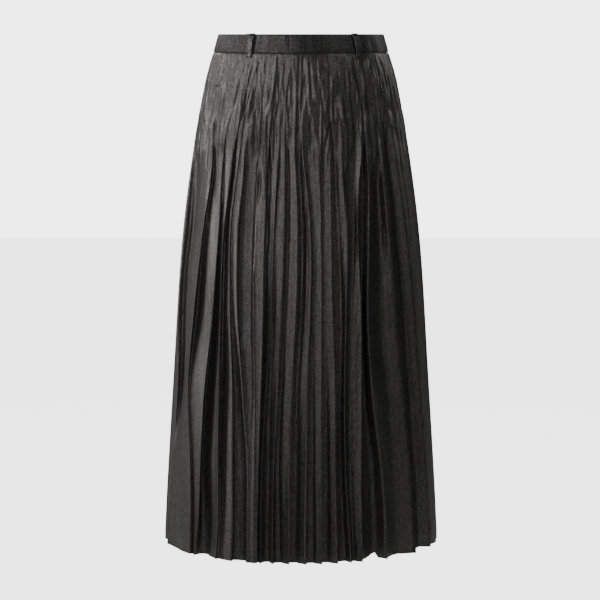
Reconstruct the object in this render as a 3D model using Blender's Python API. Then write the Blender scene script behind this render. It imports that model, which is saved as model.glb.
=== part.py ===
"""Pleated maxi skirt, filled out as it is worn: waistband, belt loops, knife-pleated panels and a concealed zip.

Metres, +Z up. The front faces -Y and the wearer's left hand is at +X. The origin is the centre of the
waist opening, half way up the waistband.

An angle runs round the skirt: 0 is the centre front, 90 the side at +X, 180 the centre back and -90 the side
at -X. A drop is the distance down from the top edge of the waistband.
"""

import math
from collections import namedtuple

import bmesh
import bpy
from mathutils import Vector

# Cloth and seams
CLOTH = 0.0012
BAND_WALL = 0.0024
SEAM_GAP = 0.0003

# Heights, as drops below the top edge of the waistband
BAND_HEIGHT = 0.030
HEM_DROP = 0.858
PLEAT_START = 0.036
HIP_DROP = 0.222
MID_DROP = 0.448
SHIN_DROP = 0.700
KNOT_DROPS = (BAND_HEIGHT, HIP_DROP, MID_DROP, SHIN_DROP, HEM_DROP)
TOP_Z = BAND_HEIGHT / 2

# Concealed zip in the centre back seam
ZIP_END_DROP = 0.200
ZIP_SLIT = 0.0022
BACK_FLAT_TOP = math.radians(6.5)
BACK_FLAT_HEM = math.radians(1.5)
SIDE_FLAT = math.radians(1.0)

# Down to mid-thigh the pleats deepen as a power of the distance below the waistband.
DEPTH_POWER = 0.6
# A deep valley is drawn up at the hem by this much at the reference depth.
HEM_LIFT = 0.009
LIFT_DEPTH = 0.030

# Rows of the pleated walls, as drops
ROW_DROPS = (
    BAND_HEIGHT + SEAM_GAP,
    0.040,
    0.056,
    0.080,
    0.112,
    0.152,
    0.200,
    0.260,
    0.330,
    0.410,
    0.500,
    0.590,
    0.680,
    0.765,
    0.820,
    HEM_DROP,
)

# The figure's envelope: half of the width, and the depths in front of and behind the side seams
Section = namedtuple("Section", "drop half_width front_depth back_depth")
SECTIONS = (
    Section(0.000, 0.1384, 0.1030, 0.1030),
    Section(0.030, 0.1468, 0.1095, 0.1115),
    Section(0.069, 0.1580, 0.1170, 0.1225),
    Section(0.119, 0.1684, 0.1235, 0.1345),
    Section(0.195, 0.1815, 0.1320, 0.1465),
    Section(0.296, 0.1957, 0.1450, 0.1575),
    Section(0.397, 0.2053, 0.1575, 0.1670),
    Section(0.550, 0.2150, 0.1750, 0.1800),
    Section(0.756, 0.2280, 0.1990, 0.1960),
    Section(0.858, 0.2333, 0.2110, 0.2040),
)

# One row for each fold edge of the front, from the side at -X to the side at +X. The first five columns are
# its angle in degrees at the drops in KNOT_DROPS. Fall is the share of the spacing, at mid-thigh and at the
# hem, that slopes down from the edge before it into the valley. Deep is the valley's depth there.
Pleat = namedtuple("Pleat", "waist hip mid shin hem fall_mid fall_hem deep_mid deep_hem")
FRONT_PLEATS = (
    Pleat(-80.0, -82.0, -80.5, -76.0, -82.0, 0.50, 0.50, 0.004, 0.004),
    Pleat(-50.0, -53.5, -59.4, -58.0, -58.5, 0.62, 0.58, 0.016, 0.012),
    Pleat(-36.5, -45.0, -45.0, -49.8, -51.3, 0.42, 0.35, 0.010, 0.003),
    Pleat(-29.5, -38.5, -40.5, -39.7, -37.8, 0.62, 0.68, 0.012, 0.017),
    Pleat(-25.5, -34.5, -35.1, -31.1, -30.1, 0.50, 0.35, 0.009, 0.010),
    Pleat(-21.0, -30.0, -31.2, -23.9, -23.3, 0.60, 0.85, 0.002, 0.007),
    Pleat(-12.0, -13.0, -13.2, -16.8, -17.3, 0.70, 0.20, 0.012, 0.008),
    Pleat(-6.5, -7.0, -8.2, -11.3, -11.9, 0.24, 0.65, 0.010, 0.015),
    Pleat(-1.5, -1.0, -1.4, -4.4, -4.7, 0.22, 0.49, 0.009, 0.013),
    Pleat(4.0, 5.0, 5.1, 3.2, 2.6, 0.50, 0.40, 0.007, 0.012),
    Pleat(10.0, 10.3, 9.9, 9.4, 9.2, 0.25, 0.42, 0.006, 0.011),
    Pleat(15.5, 16.0, 15.5, 15.9, 16.3, 0.20, 0.36, 0.009, 0.011),
    Pleat(21.5, 23.5, 22.1, 20.0, 22.5, 0.50, 0.75, 0.012, 0.016),
    Pleat(28.0, 30.0, 29.9, 28.1, 27.6, 0.25, 0.25, 0.006, 0.008),
    Pleat(36.0, 37.0, 33.3, 37.4, 40.5, 0.80, 0.22, 0.017, 0.028),
    Pleat(45.0, 48.6, 50.9, 57.3, 58.3, 0.32, 0.28, 0.012, 0.012),
    Pleat(57.0, 59.5, 64.4, 68.0, 70.0, 0.60, 0.85, 0.009, 0.013),
    Pleat(72.0, 74.5, 78.0, 80.0, 80.5, 0.50, 0.50, 0.006, 0.006),
)
# The back repeats the front's folds from another place in the row, so that it isn't a copy.
BACK_START = 7
BACK_SPREAD = 0.945
BACK_LEAST_FALL = 0.32
BACK_DEPTH = 0.9

# Belt loops, by the angle of the middle of each
LOOP_ANGLES = {
    "belt_loop_front_right": -34.6,
    "belt_loop_front_left": 39.2,
    "belt_loop_back_left": 140.0,
    "belt_loop_back_right": -140.0,
}
LOOP_WIDTH = 0.0095
LOOP_THICK = 0.0012
LOOP_RISE = 0.0014
LOOP_TAIL = 0.0090
LOOP_BOW = 0.0034
LOOP_FOLD = 0.0045

# Zip: tape behind the seam, slider, and a pull tab that hinges on it
TAPE_WIDTH = 0.024
TAPE_THICK = 0.0009
COIL_WIDTH = 0.0040
COIL_THICK = 0.0020
TAPE_TOP_DROP = 0.0114
SLIDER_SIZE = Vector((0.0076, 0.0034, 0.0070))
SLIDER_CLEARANCE = 0.0006
SLIDER_DROP = 0.0022
NECK_WIDTH = 0.0012
EAR_RADIUS = 0.0024
EYE_RADIUS = 0.0013
PULL_LENGTH = 0.0170
PULL_WIDTH = 0.0060
PULL_THICK = 0.0012
PULL_WINDOW = Vector((0.0030, 0.0040))
PIVOT_DROP = 0.0070
PIVOT_STAND_OFF = 0.0030
# The tab leans in from the waistband's slope until its tip almost rests on the cloth.
PULL_LEAN = math.radians(5.5)

BLACK_LAME = ("black_lame_cloth", (0.016, 0.015, 0.015), 0.46, 0.25)
BLACK_TAPE = ("black_woven_tape", (0.012, 0.012, 0.012), 0.85, 0.0)
BLACK_METAL = ("black_lacquered_zinc", (0.020, 0.020, 0.021), 0.35, 0.9)


def clear_scene():
    for obj in list(bpy.data.objects):
        bpy.data.objects.remove(obj)


def material(kind):
    """The Principled material of that name, made once."""
    name, colour, roughness, metallic = kind
    made = bpy.data.materials.get(name)
    if made is None:
        made = bpy.data.materials.new(name)
        made.use_nodes = True
        shader = made.node_tree.nodes["Principled BSDF"]
        shader.inputs["Base Color"].default_value = (*colour, 1.0)
        shader.inputs["Roughness"].default_value = roughness
        shader.inputs["Metallic"].default_value = metallic
    return made


def add_object(name, bm, kind, smooth_angle=None):
    """A finished bmesh as a named object at the origin."""
    bmesh.ops.recalc_face_normals(bm, faces=bm.faces[:])
    mesh = bpy.data.meshes.new(name)
    bm.to_mesh(mesh)
    bm.free()
    mesh.materials.append(material(kind))
    if smooth_angle is not None:
        mesh.shade_smooth()
        mesh.set_sharp_from_angle(angle=smooth_angle)
    obj = bpy.data.objects.new(name, mesh)
    bpy.context.scene.collection.objects.link(obj)
    return obj


# Shape of the figure


def curve_through(knots, values, at):
    """A smooth curve through the values, read at one place. The knots may be unevenly spaced."""
    at = min(max(at, knots[0]), knots[-1])
    i = 0
    while i < len(knots) - 2 and at > knots[i + 1]:
        i += 1
    before, after = max(i - 1, 0), min(i + 2, len(knots) - 1)
    span = knots[i + 1] - knots[i]
    share = (at - knots[i]) / span
    slope_in = (values[i + 1] - values[before]) / (knots[i + 1] - knots[before])
    slope_out = (values[after] - values[i]) / (knots[after] - knots[i])
    square, cube = share**2, share**3
    return (
        (2 * cube - 3 * square + 1) * values[i]
        + (cube - 2 * square + share) * span * slope_in
        + (3 * square - 2 * cube) * values[i + 1]
        + (cube - square) * span * slope_out
    )


def section_at(drop):
    """The envelope at that drop, with a smooth curve through each column of SECTIONS."""
    knots = [s.drop for s in SECTIONS]
    return Section(
        drop,
        *(curve_through(knots, column, drop) for column in list(zip(*SECTIONS))[1:]),
    )


def skin_point(angle, drop, inset=0.0):
    """A point of the envelope, moved in by the inset square to it in plan."""
    s = section_at(drop)
    depth = s.front_depth if math.cos(angle) > 0 else s.back_depth
    place = Vector((s.half_width * math.sin(angle), -depth * math.cos(angle)))
    outward = Vector((math.sin(angle) / s.half_width, -math.cos(angle) / depth))
    place -= inset * outward.normalized()
    return Vector((place.x, place.y, TOP_Z - drop))


# Pleats


def beside_zip(degrees, drop):
    """An angle from the centre back, moved out so that it doesn't fall on the plain strip by the zip."""
    strip = math.degrees(back_flat(drop)) + 1.0
    return math.copysign(strip + (1 - strip / 90) * abs(degrees), degrees)


def back_pleats():
    """The back's fold edges in the same columns as the front's, with the centre back at 180."""
    count = len(FRONT_PLEATS)
    rows = []
    for k in range(count):
        shape = FRONT_PLEATS[(k + BACK_START) % count]
        place = FRONT_PLEATS[count - 1 - k]
        # Each edge stands where the front's opposite edge does, and takes another edge's shape.
        angles = [180 + beside_zip(-BACK_SPREAD * place[i], drop) for i, drop in enumerate(KNOT_DROPS)]
        falls = [max(fall, BACK_LEAST_FALL) for fall in (shape.fall_mid, shape.fall_hem)]
        depths = [BACK_DEPTH * deep for deep in (shape.deep_mid, shape.deep_hem)]
        rows.append(Pleat(*angles, *falls, *depths))
    return rows


def edge_angle(pleat, drop):
    """Where a fold edge runs at that drop, in radians."""
    return math.radians(curve_through(KNOT_DROPS, pleat[:5], drop))


def towards_hem(at_mid, at_hem, drop):
    """A value that stays as it is down to mid-thigh and then changes evenly to the hem."""
    share = min(max((drop - MID_DROP) / (HEM_DROP - MID_DROP), 0.0), 1.0)
    return at_mid + share * (at_hem - at_mid)


def fall_share(pleat, drop):
    """The share of the spacing before a fold edge that slopes down into the valley."""
    return towards_hem(pleat.fall_mid, pleat.fall_hem, drop)


def valley_depth(pleat, drop):
    """How deep a pleat's valley is at that drop."""
    share = min(max(drop - PLEAT_START, 0.0) / (MID_DROP - PLEAT_START), 1.0)
    return towards_hem(pleat.deep_mid, pleat.deep_hem, drop) * share**DEPTH_POWER


def back_flat(drop):
    """Half of the plain strip, as an angle, on either side of the centre back seam."""
    share = min(max((drop - ZIP_END_DROP) / (HEM_DROP - ZIP_END_DROP), 0.0), 1.0)
    return BACK_FLAT_TOP + share * (BACK_FLAT_HEM - BACK_FLAT_TOP)


def pleated_row(pleats, start, end, drop):
    """(angle, inset) round one panel at that drop, from its first seam to its last. start and end are
    (seam angle, width of the plain strip beside the seam)."""
    first_edge, last_edge = start[0] + start[1], end[0] - end[1]
    row = [(start[0], 0.0), (first_edge, 0.0)]
    last = pleats[-1]
    seam_pleat = last._replace(deep_mid=0.6 * last.deep_mid, deep_hem=0.6 * last.deep_hem)
    edges = [(edge_angle(p, drop), p) for p in pleats] + [(last_edge, seam_pleat)]
    before = first_edge
    for angle, pleat in edges:
        fall, depth = fall_share(pleat, drop), valley_depth(pleat, drop)
        stops = (
            (0.5 * fall, 0.56),
            (fall, 1.0),
            (fall + 0.5 * (1 - fall), 0.42),
            (1.0, 0.0),
        )
        row += [(before + share * (angle - before), deep * depth) for share, deep in stops]
        before = angle
    return row + [(end[0], 0.0)]


def inward(points):
    """The plan outline moved in by the cloth's thickness, with mitred corners."""
    sides = []
    for a, b in zip(points, points[1:]):
        along = (b - a).xy.normalized()
        sides.append(Vector((-along.y, along.x)))
    moved = []
    for i, point in enumerate(points):
        before, after = sides[max(i - 1, 0)], sides[min(i, len(sides) - 1)]
        corner = (before + after).normalized()
        stretch = 1 / max(corner.dot(before), 0.5)
        shift = corner * CLOTH * stretch
        moved.append(Vector((point.x + shift.x, point.y + shift.y, point.z)))
    return moved


def wall(name, rows):
    """A closed cloth wall: the rows of outer points make a grid, which is extruded in to its inner points."""
    inner = [inward(row) for row in rows]
    columns, levels = len(rows[0]), len(rows)
    bm = bmesh.new()
    index = bm.verts.layers.int.new("place")
    bmesh.ops.create_grid(bm, x_segments=columns - 1, y_segments=levels - 1, size=1.0)
    bm.verts.ensure_lookup_table()
    for k, vert in enumerate(bm.verts):
        vert[index] = k
        vert.co = rows[k // columns][k % columns]
    outer = set(bm.verts)
    bmesh.ops.extrude_face_region(bm, geom=bm.faces[:], use_keep_orig=True)
    for vert in bm.verts:
        if vert not in outer:
            vert.co = inner[vert[index] // columns][vert[index] % columns]
    add_object(name, bm, BLACK_LAME, math.radians(38))


def panel(name, pleats, start, end, slit=0.0):
    """One pleated panel. start and end give each seam's angle and its plain strip at a drop. A slit opens the
    seam at the centre back down to the zip's end."""
    rows = []
    for drop in ROW_DROPS:
        opening = slit if drop <= ZIP_END_DROP else SEAM_GAP
        row = pleated_row(pleats, start(drop, opening), end(drop, opening), drop)
        points = []
        for angle, inset in row:
            point = skin_point(angle, drop, inset)
            if drop == HEM_DROP:
                point.z += HEM_LIFT * min(inset / LIFT_DEPTH, 1.0) ** 2
            points.append(point)
        rows.append(points)
    wall(name, rows)


def gap_angle(gap, drop, side):
    """Half of a seam's gap as an angle, at the side seams or at the centre back."""
    s = section_at(drop)
    return 0.5 * gap / (s.front_depth if side else s.half_width)


def make_panels():
    half_turn = math.pi
    right_angle = math.pi / 2

    def side(drop, sign, offset):
        return (sign * (right_angle + offset * gap_angle(SEAM_GAP, drop, True)), SIDE_FLAT)

    panel(
        "front_panel",
        FRONT_PLEATS,
        lambda drop, _: side(drop, -1, -1),
        lambda drop, _: side(drop, 1, -1),
    )
    pleats = back_pleats()
    middle = len(pleats) // 2
    panel(
        "back_panel_left",
        pleats[:middle],
        lambda drop, _: side(drop, 1, 1),
        lambda drop, opening: (half_turn - gap_angle(opening, drop, False), back_flat(drop)),
        ZIP_SLIT,
    )
    full_turn = 2 * half_turn
    panel(
        "back_panel_right",
        pleats[middle:],
        lambda drop, opening: (half_turn + gap_angle(opening, drop, False), back_flat(drop)),
        lambda drop, _: (full_turn - side(drop, 1, 1)[0], SIDE_FLAT),
        ZIP_SLIT,
    )


# Waistband


def band(name, start, end, steps):
    """One length of the waistband: a flat section with eased top corners, lofted round the waist."""
    ease = 0.0005
    corners = (
        (BAND_HEIGHT, 0.0),
        (ease * 2, 0.0),
        (0.0, ease),
        (0.0, BAND_WALL - ease),
        (ease * 2, BAND_WALL),
        (BAND_HEIGHT, BAND_WALL),
    )
    bm = bmesh.new()
    rings = []
    for k in range(steps + 1):
        angle = start + (end - start) * k / steps
        verts = [bm.verts.new(skin_point(angle, drop, inset)) for drop, inset in corners]
        rings.append([bm.edges.new(pair) for pair in zip(verts, verts[1:] + verts[:1])])
    for a, b in zip(rings, rings[1:]):
        bmesh.ops.bridge_loops(bm, edges=a + b)
    bmesh.ops.holes_fill(bm, edges=rings[0] + rings[-1], sides=len(corners))
    add_object(name, bm, BLACK_LAME, math.radians(38))


def make_bands():
    right_angle, half_turn = math.pi / 2, math.pi
    side_gap = gap_angle(SEAM_GAP, BAND_HEIGHT / 2, True)
    slit_gap = gap_angle(ZIP_SLIT, BAND_HEIGHT / 2, False)
    band("waistband_front", -right_angle + side_gap, right_angle - side_gap, 44)
    band("waistband_back_left", right_angle + side_gap, half_turn - slit_gap, 22)
    band("waistband_back_right", half_turn + slit_gap, 1.5 * half_turn - side_gap, 22)


# Belt loops


def loop_profile(angle):
    """(distance out from the envelope, drop) round a belt loop seen from its side, inner face first."""
    bottom = BAND_HEIGHT + LOOP_TAIL
    inner = (
        (SEAM_GAP, bottom),
        (SEAM_GAP, bottom - LOOP_FOLD),
        (LOOP_BOW * 0.62, BAND_HEIGHT - 0.0045),
        (LOOP_BOW, BAND_HEIGHT * 0.52),
        (LOOP_BOW * 0.72, 0.0065),
        (SEAM_GAP, 0.0030),
        (SEAM_GAP, -LOOP_RISE),
    )
    outer = [(out + LOOP_THICK, drop) for out, drop in inner[2:5]]
    top = [(SEAM_GAP + 2 * LOOP_THICK, 0.0016), (SEAM_GAP + LOOP_THICK, -LOOP_RISE)]
    tail = [(SEAM_GAP + 2 * LOOP_THICK, bottom), (SEAM_GAP + 2 * LOOP_THICK, bottom - LOOP_FOLD)]
    return list(inner) + top[::-1] + outer[::-1] + tail[::-1]


def belt_loop(name, degrees):
    """A strip across the waistband: its side outline, extruded to the strip's width."""
    angle = math.radians(degrees)
    middle = section_at(BAND_HEIGHT / 2)
    depth = middle.front_depth if math.cos(angle) > 0 else middle.back_depth
    outward = Vector((math.sin(angle) / middle.half_width, -math.cos(angle) / depth, 0)).normalized()
    across = Vector((-outward.y, outward.x, 0))
    bm = bmesh.new()
    verts = []
    for out, drop in loop_profile(angle):
        base = skin_point(angle, max(drop, 0.0))
        base.z = TOP_Z - drop
        verts.append(bm.verts.new(base + outward * out - across * LOOP_WIDTH / 2))
    face = bm.faces.new(verts)
    side = bmesh.ops.extrude_face_region(bm, geom=[face], use_keep_orig=True)
    moved = [v for v in side["geom"] if isinstance(v, bmesh.types.BMVert)]
    bmesh.ops.translate(bm, verts=moved, vec=across * LOOP_WIDTH)
    add_object(name, bm, BLACK_LAME)


# Zip


def back_frame(drop):
    """At the centre back and that drop: a point of the outer face, and the outward and downward directions."""
    here, below = skin_point(math.pi, drop), skin_point(math.pi, drop + 0.004)
    down = (below - here).normalized()
    return here, Vector((0, -down.z, down.y)), down


def make_tape():
    """The closed zip: two tapes meeting in a coil, behind the centre back seam."""
    coil, half = COIL_WIDTH / 2, TAPE_WIDTH / 2
    section = (
        (-half, 0.0),
        (half, 0.0),
        (half, TAPE_THICK),
        (coil, TAPE_THICK),
        (coil, COIL_THICK),
        (-coil, COIL_THICK),
        (-coil, TAPE_THICK),
        (-half, TAPE_THICK),
    )
    levels = 12
    bm = bmesh.new()
    rings = []
    for k in range(levels + 1):
        drop = TAPE_TOP_DROP + (ZIP_END_DROP - TAPE_TOP_DROP) * k / levels
        verts = []
        for across, inward_by in section:
            s = section_at(drop)
            angle = math.pi - across / s.half_width
            verts.append(bm.verts.new(skin_point(angle, drop, BAND_WALL + SEAM_GAP + inward_by)))
        rings.append([bm.edges.new(pair) for pair in zip(verts, verts[1:] + verts[:1])])
    for a, b in zip(rings, rings[1:]):
        bmesh.ops.bridge_loops(bm, edges=a + b)
    bmesh.ops.holes_fill(bm, edges=rings[0] + rings[-1], sides=len(section))
    add_object("zip_tape", bm, BLACK_TAPE)


def box(bm, low, high):
    made = bmesh.ops.create_cube(bm, size=1.0)
    centre, size = (Vector(low) + Vector(high)) / 2, Vector(high) - Vector(low)
    for vert in made["verts"]:
        vert.co = centre + Vector(vert.co[i] * size[i] for i in range(3))
    return made["verts"]


def cylinder_across(bm, centre, radius, length, sides):
    """A cylinder along X."""
    made = bmesh.ops.create_cone(
        bm, cap_ends=True, segments=sides, radius1=radius, radius2=radius, depth=length
    )
    for vert in made["verts"]:
        x, y, z = vert.co
        vert.co = centre + Vector((z, x, y))
    return made["verts"]


def anchor_at_pivot(name):
    """An empty on the pull tab's hinge line, turned so that its Z runs up the waistband's slope and its Y
    points out from it."""
    here, outward, _ = back_frame(PIVOT_DROP)
    _, _, down = back_frame(PIVOT_DROP + PULL_LENGTH / 2)
    anchor = bpy.data.objects.new(name, None)
    bpy.context.scene.collection.objects.link(anchor)
    anchor.location = here + outward * PIVOT_STAND_OFF
    anchor.rotation_euler = (math.atan2(down.y, -down.z), 0, 0)
    return anchor


def mesh_part(name, kind, anchor, maker, *arguments):
    """One solid from its maker, hung on the anchor."""
    bm = bmesh.new()
    maker(bm, *arguments)
    obj = add_object(name, bm, kind)
    obj.parent = anchor
    return obj


def combine(whole, helper, operation):
    """Join the helper to the whole, or cut it out."""
    helper.hide_render = True
    helper.display_type = "WIRE"
    step = whole.modifiers.new(helper.name, "BOOLEAN")
    step.operation = operation
    step.object = helper


def make_slider():
    """Slider: a body behind the slit, a neck through it, and an ear with an eye for the pull."""
    anchor = anchor_at_pivot("slider_seat")
    half = SLIDER_SIZE / 2
    face = -(PIVOT_STAND_OFF + BAND_WALL + SLIDER_CLEARANCE)
    body_low = (-half.x, face - SLIDER_SIZE.y, -SLIDER_DROP)
    body_high = (half.x, face, SLIDER_SIZE.z - SLIDER_DROP)
    neck_low = (-NECK_WIDTH / 2, face - 0.001, -0.0012)
    neck_high = (NECK_WIDTH / 2, 0.0, 0.0012)
    middle = Vector((0, 0, 0))
    slider = mesh_part("zip_slider", BLACK_METAL, anchor, box, body_low, body_high)
    neck = mesh_part("zip_slider_neck", BLACK_METAL, anchor, box, neck_low, neck_high)
    ear = mesh_part(
        "zip_slider_ear", BLACK_METAL, anchor, cylinder_across, middle, EAR_RADIUS, NECK_WIDTH, 24
    )
    eye = mesh_part(
        "zip_slider_eye", BLACK_METAL, anchor, cylinder_across, middle, EYE_RADIUS, NECK_WIDTH * 3, 20
    )
    combine(slider, neck, "UNION")
    combine(slider, ear, "UNION")
    combine(slider, eye, "DIFFERENCE")


def pull_blank(bm):
    """The pull tab's outline, extruded to its thickness. Its top edge is the bar in the slider's eye."""
    half, thick = PULL_WIDTH / 2, PULL_THICK / 2
    side = (
        (1.00, PULL_THICK / 2),
        (0.92, -0.0045),
        (0.80, -0.0085),
        (1.00, 0.0030 - PULL_LENGTH),
        (0.70, 0.0008 - PULL_LENGTH),
    )
    outline = [(share * half, z) for share, z in side] + [(0.0, -PULL_LENGTH)]
    outline += [(-share * half, z) for share, z in side[::-1]]
    face = bm.faces.new([bm.verts.new((x, -thick, z)) for x, z in outline])
    grown = bmesh.ops.extrude_face_region(bm, geom=[face], use_keep_orig=True)
    moved = [v for v in grown["geom"] if isinstance(v, bmesh.types.BMVert)]
    bmesh.ops.translate(bm, verts=moved, vec=(0, PULL_THICK, 0))


def make_pull():
    """Pull tab: a flat drop with a window below the bar that runs through the slider's eye."""
    anchor = anchor_at_pivot("pull_hinge")
    anchor.rotation_euler.x -= PULL_LEAN
    tab = mesh_part("zip_pull", BLACK_METAL, anchor, pull_blank)
    top = -PULL_THICK / 2
    low = (-PULL_WINDOW.x / 2, -PULL_THICK, top - PULL_WINDOW.y)
    high = (PULL_WINDOW.x / 2, PULL_THICK, top)
    window = mesh_part("zip_pull_window", BLACK_METAL, anchor, box, low, high)
    combine(tab, window, "DIFFERENCE")


clear_scene()
make_panels()
make_bands()
for loop_name, loop_degrees in LOOP_ANGLES.items():
    belt_loop(loop_name, loop_degrees)
make_tape()
make_slider()
make_pull()
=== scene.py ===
"""Looks of the pleated maxi skirt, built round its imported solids.

Metres, +Z up. The front faces -Y and the wearer's left hand is at +X. An angle runs round the skirt: 0 is the
centre front, 90 the side at +X, 180 the centre back and -90 the side at -X. A drop is the distance down from the
top edge of the waistband. Out is the distance from the figure's envelope, square to it in plan.
"""

import math
import random
from collections import namedtuple

import bmesh
import bpy
from mathutils import Matrix, Vector, noise


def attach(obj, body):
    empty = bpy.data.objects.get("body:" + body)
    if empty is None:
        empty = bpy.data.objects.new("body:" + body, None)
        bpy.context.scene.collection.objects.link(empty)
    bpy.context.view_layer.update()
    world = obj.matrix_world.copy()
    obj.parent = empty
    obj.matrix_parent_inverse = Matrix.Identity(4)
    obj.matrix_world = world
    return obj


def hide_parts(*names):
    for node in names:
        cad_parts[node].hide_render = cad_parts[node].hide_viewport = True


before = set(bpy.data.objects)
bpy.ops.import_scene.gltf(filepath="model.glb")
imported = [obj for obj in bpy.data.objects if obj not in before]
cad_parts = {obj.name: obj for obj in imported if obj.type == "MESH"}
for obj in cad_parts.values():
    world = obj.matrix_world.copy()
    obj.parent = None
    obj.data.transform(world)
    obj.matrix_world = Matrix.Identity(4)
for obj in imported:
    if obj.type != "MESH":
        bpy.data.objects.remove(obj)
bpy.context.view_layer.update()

# Heights, as drops below the top edge of the waistband. From PLEAT_START the pleats open over PLEAT_EASE to the
# share SHUT of their depth, and then over OPEN_SPAN, round each one's own drop, to all of it.
BAND_HEIGHT = 0.030
HEM_DROP = 0.858
PLEAT_START = 0.033
PLEAT_EASE = 0.040
SHUT = 0.28
OPEN_SPAN = 0.06
TOP_Z = BAND_HEIGHT / 2

# Cloth and seams. A panel's edge turns in by SEAM_TURN. Its allowance laps under the next panel by SEAM_LAP, at
# LAP_DEPTH below the envelope, and leans in by LAP_LEAN. The waistband's lengths turn in by BAND_SEAM at their
# ends. The cloth steps back by HEM_STEP at the hem's stitching, HEM_TURN above the hem.
CLOTH = 0.0009
BAND_WALL = 0.0024
BAND_SEAM = 0.0004
SEAM_GAP = 0.0003
SEAM_TURN = 0.0010
SEAM_LAP = 0.0012
LAP_DEPTH = 0.0023
LAP_LEAN = 0.0002
HEM_TURN = 0.010
HEM_STEP = 0.0004

# Centre back opening, the plain strips beside the seams in degrees, and the shares of a strip where its allowance
# comes out from under it, where it bends and where it lies flat
ZIP_END_DROP = 0.200
ZIP_SLIT = 0.0022
BACK_FLAT_TOP = 6.5
BACK_FLAT_HEM = 1.5
SIDE_FLAT = 1.0
STRIP_UNDER, STRIP_BEND, STRIP_FLAT = 0.03, 0.12, 0.45

# Valleys deepen down to the first of FALL_DROPS by DEPTH_POWER, and reach behind their fold edge by UNDERCUT of
# their depth. The bottom of one that is LIFT_DEPTH deep rises by HEM_LIFT over the last LIFT_HEIGHT above the hem,
# and that of a shallower one hardly at all. A fall takes between LEAST_FALL and MOST_FALL of its spacing.
DEPTH_POWER = 0.62
LEAST_FALL, MOST_FALL = 0.08, 0.9
UNDERCUT = 0.8
LIFT_DEPTH = 0.027
LIFT_HEIGHT = 0.06
LIFT_POWER = 20
HEM_LIFT = 0.012

# The gathered hips are most crushed at HIP_DROP. The heights are those of broad and narrow creases there, which
# RIDGE sharpens, and of slow waves everywhere. The radii turn angles into lengths, for these and for the
# waistband's pattern.
HIP_DROP = 0.12
HIP_SPREAD = 0.085
CRUSH_HEIGHT = 0.0013
CREASE_HEIGHT = 0.0010
WAVE_HEIGHT = 0.0004
RIDGE = 3.2
NOISE_RADIUS = 0.2
WAIST_RADIUS = 0.13

# Mesh spacing round the panels, across a valley's wall, and down the panels above and below CRUSH_DROP. The
# columns are counted once, at PLAN_DROP.
COLUMN = 0.0019
WALL_STEP = 0.0035
PLAN_DROP = 0.140
CRUSH_DROP = 0.215
ROW_FINE = 0.0030
ROW_COARSE = 0.0080

# Envelope of the figure: half its width, and its depth in front of and behind the axis, at each drop
Section = namedtuple("Section", "drop half_width front_depth back_depth")
SECTIONS = (
    Section(0.000, 0.1384, 0.1030, 0.1030),
    Section(0.030, 0.1468, 0.1095, 0.1115),
    Section(0.069, 0.1580, 0.1170, 0.1225),
    Section(0.119, 0.1684, 0.1235, 0.1345),
    Section(0.195, 0.1815, 0.1320, 0.1465),
    Section(0.296, 0.1957, 0.1450, 0.1575),
    Section(0.397, 0.2053, 0.1575, 0.1670),
    Section(0.550, 0.2150, 0.1750, 0.1800),
    Section(0.756, 0.2280, 0.1990, 0.1960),
    Section(0.858, 0.2333, 0.2110, 0.2040),
)
SECTION_DROPS = [s.drop for s in SECTIONS]
SECTION_COLUMNS = list(zip(*SECTIONS))[1:]

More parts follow.
